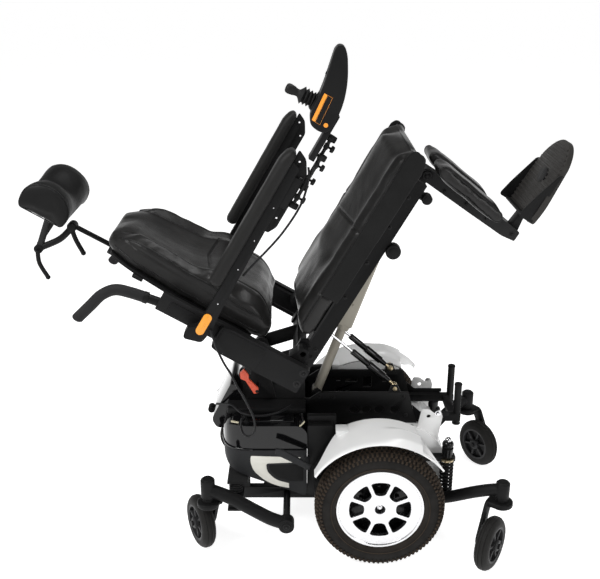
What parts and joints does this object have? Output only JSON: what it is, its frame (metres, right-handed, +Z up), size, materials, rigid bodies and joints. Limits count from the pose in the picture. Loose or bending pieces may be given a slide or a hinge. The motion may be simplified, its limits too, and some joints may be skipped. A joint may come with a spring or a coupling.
{
  "type": "power wheelchair",
  "caption": "Mid-wheel-drive power wheelchair with a tilting and reclining seat, elevating leg rest, headrest and swing-away joystick, shown tilted back.",
  "frame": {"origin": "on the floor, under the middle of the chair's bounding box; the chair's middle plane is at Y = 0.0296 because a swung front caster reaches out on the right", "axes": "+X forwards, +Y to the user's left, +Z up; rest pose is the seat tilted back 60 degrees"},
  "size_m": [1.464, 0.7172, 1.3971],
  "materials": {
    "battery": "matte charcoal",
    "beige_metal": "satin beige-grey paint",
    "black_plastic": "matte black",
    "black_steel": "satin black powder coat",
    "chrome": "bright",
    "foam": "black integral-skin foam",
    "gloss_black": "high gloss black",
    "grey_plastic": "matte dark grey",
    "machined": "machined and clear coated",
    "red": "satin red-orange",
    "tyre": "matte black",
    "vinyl": "glossy black vinyl over foam",
    "white_plastic": "gloss white"
  },
  "bodies": {
    "base": {"chassis_frame": "black_steel", "tilt_frame": "black_steel", "lower_body": "grey_plastic", "rear_lid": "gloss_black", "battery_pack": "battery", "front_cover": "white_plastic", "fender_left": "white_plastic", "fender_right": "white_plastic", "motor_left": "black_steel", "motor_right": "black_steel", "front_spring_left": "black_steel", "front_spring_right": "black_steel", "rear_spring_left": "black_steel", "rear_spring_right": "black_steel"},
    "actuator_lower": {"actuator_rod": "chrome"},
    "actuator_upper": {"actuator_housing": "beige_metal"},
    "seat": {"seat_frame": "black_steel", "seat_cushion": "vinyl", "joystick_cable": "black_plastic"},
    "leg_rest": {"leg_beam": "black_steel", "calf_pads": "vinyl"},
    "foot_support": {"footplate": "black_plastic"},
    "backrest": {"back_frame": "black_steel", "back_cushion": "vinyl"},
    "armrest_right": {"armrest_frame_right": "black_plastic", "armrest_pad_right": "foam"},
    "armrest_left": {"armrest_frame_left": "black_plastic", "armrest_pad_left": "foam"},
    "outer_link": {"joystick_link_outer": "black_steel"},
    "inner_link": {"joystick_link_inner": "black_steel"},
    "pod": {"joystick_pod": "black_plastic"},
    "gimbal": {"joystick_gimbal": "chrome"},
    "stick": {"joystick_stick": "black_plastic"},
    "button": {"power_button": "grey_plastic"},
    "head_mast": {"headrest_mast": "black_steel"},
    "head_link": {"headrest_link": "black_steel"},
    "head_pad": {"headrest_pad": "vinyl"},
    "lever_release": {"release_lever": "red"},
    "strut_lower_right": {"strut_cylinder_right": "black_steel"},
    "strut_upper_right": {"strut_rod_right": "chrome"},
    "strut_lower_left": {"strut_cylinder_left": "black_steel"},
    "strut_upper_left": {"strut_rod_left": "chrome"},
    "drive_wheel_right": {"tyre_right": "tyre", "rim_right": "machined"},
    "freewheel_right": {"freewheel_lever_right": "grey_plastic"},
    "front_arm_right": {"front_arm_right": "black_steel"},
    "front_right_caster_fork": {"front_right_fork": "black_plastic"},
    "front_right_caster_wheel": {"front_right_wheel": "tyre"},
    "rear_arm_right": {"rear_arm_right": "black_steel"},
    "rear_right_caster_fork": {"rear_right_fork": "black_plastic"},
    "rear_right_caster_wheel": {"rear_right_wheel": "tyre"},
    "drive_wheel_left": {"tyre_left": "tyre", "rim_left": "machined"},
    "freewheel_left": {"freewheel_lever_left": "grey_plastic"},
    "front_arm_left": {"front_arm_left": "black_steel"},
    "front_left_caster_fork": {"front_left_fork": "black_plastic"},
    "front_left_caster_wheel": {"front_left_wheel": "tyre"},
    "rear_arm_left": {"rear_arm_left": "black_steel"},
    "rear_left_caster_fork": {"rear_left_fork": "black_plastic"},
    "rear_left_caster_wheel": {"rear_left_wheel": "tyre"}
  },
  "joints": [
    {"name": "tilt", "type": "hinge", "parent": "base", "child": "seat", "pos_m": [-0.11, 0.0296, 0.5], "axis": [0, 1, 0], "range_deg": [0, 60], "deforming": ["joystick_cable"]},
    {"name": "actuator_swing", "type": "hinge", "parent": "base", "child": "actuator_lower", "pos_m": [0.054, 0.0296, 0.382], "axis": [0, 1, 0], "range_deg": [0, 70.24]},
    {"name": "actuator_stroke", "type": "slide", "parent": "actuator_lower", "child": "actuator_upper", "axis": [0.3419, 0, 0.9397], "range_m": [-0.19141, 0]},
    {"name": "strut_swing_right", "type": "hinge", "parent": "base", "child": "strut_lower_right", "pos_m": [0.275, -0.0254, 0.426], "axis": [0, 1, 0], "range_deg": [-43.39, 0]},
    {"name": "strut_stroke_right", "type": "slide", "parent": "strut_lower_right", "child": "strut_upper_right", "axis": [-0.757, 0, 0.6534], "range_m": [-0.09054, 0]},
    {"name": "strut_swing_left", "type": "hinge", "parent": "base", "child": "strut_lower_left", "pos_m": [0.275, 0.0846, 0.426], "axis": [0, 1, 0], "range_deg": [-43.39, 0]},
    {"name": "strut_stroke_left", "type": "slide", "parent": "strut_lower_left", "child": "strut_upper_left", "axis": [-0.757, 0, 0.6534], "range_m": [-0.09054, 0]},
    {"name": "recline", "type": "hinge", "parent": "seat", "child": "backrest", "pos_m": [0.01182, 0.0296, 0.6008], "axis": [0, -1, 0], "range_deg": [0, 30]},
    {"name": "leg_elevate", "type": "hinge", "parent": "seat", "child": "leg_rest", "pos_m": [0.34171, 0.0296, 1.03618], "axis": [0, -1, 0], "range_deg": [0, 65]},
    {"name": "foot_angle", "type": "hinge", "parent": "leg_rest", "child": "foot_support", "pos_m": [0.58186, 0.0296, 0.87213], "axis": [0, -1, 0], "range_deg": [-10, 15]},
    {"name": "armrest_flip_right", "type": "hinge", "parent": "backrest", "child": "armrest_right", "pos_m": [-0.25234, 0.0296, 0.69326], "axis": [0, -1, 0], "range_deg": [0, 95]},
    {"name": "armrest_flip_left", "type": "hinge", "parent": "backrest", "child": "armrest_left", "pos_m": [-0.25234, 0.0296, 0.69326], "axis": [0, -1, 0], "range_deg": [0, 95]},
    {"name": "joystick_swing", "type": "hinge", "parent": "armrest_right", "child": "outer_link", "pos_m": [-0.01337, -0.2424, 1.01717], "axis": [0.866, 0, -0.5], "range_deg": [0, 80]},
    {"name": "inner_link_swing", "type": "hinge", "parent": "armrest_right", "child": "inner_link", "pos_m": [0.01063, -0.2244, 1.05874], "axis": [0.866, 0, -0.5], "range_deg": [0, 80.01]},
    {"name": "joystick_level", "type": "hinge", "parent": "outer_link", "child": "pod", "pos_m": [0.05413, -0.2424, 1.13409], "axis": [0.866, 0, -0.5], "range_deg": [-80.01, 0]},
    {"name": "stick_pitch", "type": "hinge", "parent": "pod", "child": "gimbal", "pos_m": [0.04851, -0.2704, 1.26435], "axis": [0, 1, 0], "range_deg": [-18, 18], "stiffness_Nm_per_rad": 0.6},
    {"name": "stick_roll", "type": "hinge", "parent": "gimbal", "child": "stick", "pos_m": [0.04851, -0.2704, 1.26435], "axis": [0.5, 0, 0.866], "range_deg": [-18, 18], "stiffness_Nm_per_rad": 0.6},
    {"name": "button_press", "type": "slide", "parent": "pod", "child": "button", "axis": [0.866, 0, -0.5], "range_m": [0, 0.0015], "stiffness_N_per_m": 800, "springref_m": -0.0006},
    {"name": "headrest_height", "type": "slide", "parent": "backrest", "child": "head_mast", "axis": [-0.866, 0, 0.5], "range_m": [-0.02, 0.05]},
    {"name": "headrest_swing", "type": "hinge", "parent": "head_mast", "child": "head_link", "pos_m": [-0.62297, 0.0296, 0.88531], "axis": [0, 1, 0], "range_deg": [-15, 15]},
    {"name": "headrest_angle", "type": "hinge", "parent": "head_link", "child": "head_pad", "pos_m": [-0.7218, 0.0296, 0.82112], "axis": [0, 1, 0], "range_deg": [-20, 5]},
    {"name": "release_lever", "type": "hinge", "parent": "base", "child": "lever_release", "pos_m": [-0.1165, -0.0844, 0.437], "axis": [0, -1, 0], "range_deg": [0, 40]},
    {"name": "drive_right", "type": "hinge", "parent": "base", "child": "drive_wheel_right", "pos_m": [0.221, -0.2584, 0.178], "axis": [0, 1, 0], "continuous": true},
    {"name": "freewheel_right", "type": "hinge", "parent": "base", "child": "freewheel_right", "pos_m": [0.024, -0.2154, 0.272], "axis": [0, 1, 0], "range_deg": [0, 35]},
    {"name": "front_suspension_right", "type": "hinge", "parent": "base", "child": "front_arm_right", "pos_m": [0.385, 0.0296, 0.126], "axis": [0, 1, 0], "range_deg": [0, 6], "stiffness_Nm_per_rad": 120, "springref_deg": 6.02, "deforming": ["front_spring_right"]},
    {"name": "front_right_swivel", "type": "hinge", "parent": "front_arm_right", "child": "front_right_caster_fork", "pos_m": [0.559, -0.2404, 0], "axis": [0, 0, 1], "continuous": true},
    {"name": "front_right_roll", "type": "hinge", "parent": "front_right_caster_fork", "child": "front_right_caster_wheel", "pos_m": [0.52401, -0.29037, 0.076], "axis": [0.8192, -0.5736, 0], "continuous": true},
    {"name": "rear_suspension_right", "type": "hinge", "parent": "base", "child": "rear_arm_right", "pos_m": [-0.033, 0.0296, 0.125], "axis": [0, -1, 0], "range_deg": [0, 6], "stiffness_Nm_per_rad": 120, "springref_deg": 6.02, "deforming": ["rear_spring_right"]},
    {"name": "rear_right_swivel", "type": "hinge", "parent": "rear_arm_right", "child": "rear_right_caster_fork", "pos_m": [-0.248, -0.2404, 0], "axis": [0, 0, 1], "continuous": true},
    {"name": "rear_right_roll", "type": "hinge", "parent": "rear_right_caster_fork", "child": "rear_right_caster_wheel", "pos_m": [-0.27664, -0.18654, 0.076], "axis": [-0.8829, -0.4695, 0], "continuous": true},
    {"name": "drive_left", "type": "hinge", "parent": "base", "child": "drive_wheel_left", "pos_m": [0.221, 0.3176, 0.178], "axis": [0, 1, 0], "continuous": true},
    {"name": "freewheel_left", "type": "hinge", "parent": "base", "child": "freewheel_left", "pos_m": [0.024, 0.2746, 0.272], "axis": [0, 1, 0], "range_deg": [0, 35]},
    {"name": "front_suspension_left", "type": "hinge", "parent": "base", "child": "front_arm_left", "pos_m": [0.385, 0.0296, 0.126], "axis": [0, 1, 0], "range_deg": [0, 6], "stiffness_Nm_per_rad": 120, "springref_deg": 6.02, "deforming": ["front_spring_left"]},
    {"name": "front_left_swivel", "type": "hinge", "parent": "front_arm_left", "child": "front_left_caster_fork", "pos_m": [0.559, 0.2996, 0], "axis": [0, 0, 1], "continuous": true},
    {"name": "front_left_roll", "type": "hinge", "parent": "front_left_caster_fork", "child": "front_left_caster_wheel", "pos_m": [0.59485, 0.25025, 0.076], "axis": [0.809, 0.5878, 0], "continuous": true},
    {"name": "rear_suspension_left", "type": "hinge", "parent": "base", "child": "rear_arm_left", "pos_m": [-0.033, 0.0296, 0.125], "axis": [0, -1, 0], "range_deg": [0, 6], "stiffness_Nm_per_rad": 120, "springref_deg": 6.02, "deforming": ["rear_spring_left"]},
    {"name": "rear_left_swivel", "type": "hinge", "parent": "rear_arm_left", "child": "rear_left_caster_fork", "pos_m": [-0.248, 0.2996, 0], "axis": [0, 0, 1], "continuous": true},
    {"name": "rear_left_roll", "type": "hinge", "parent": "rear_left_caster_fork", "child": "rear_left_caster_wheel", "pos_m": [-0.19068, 0.32046, 0.076], "axis": [-0.342, 0.9397, 0], "continuous": true}
  ],
  "couplings": [
    {"joint": "actuator_swing", "follows": "tilt", "ratio": 1.1705},
    {"joint": "actuator_stroke", "follows": "tilt", "m_per_rad": -0.18274},
    {"joint": "strut_swing_right", "follows": "tilt", "ratio": -0.72296},
    {"joint": "strut_stroke_right", "follows": "tilt", "m_per_rad": -0.08641},
    {"joint": "strut_swing_left", "follows": "tilt", "ratio": -0.72296},
    {"joint": "strut_stroke_left", "follows": "tilt", "m_per_rad": -0.08641},
    {"joint": "inner_link_swing", "follows": "joystick_swing", "ratio": 1},
    {"joint": "joystick_level", "follows": "joystick_swing", "ratio": -1}
  ]
}
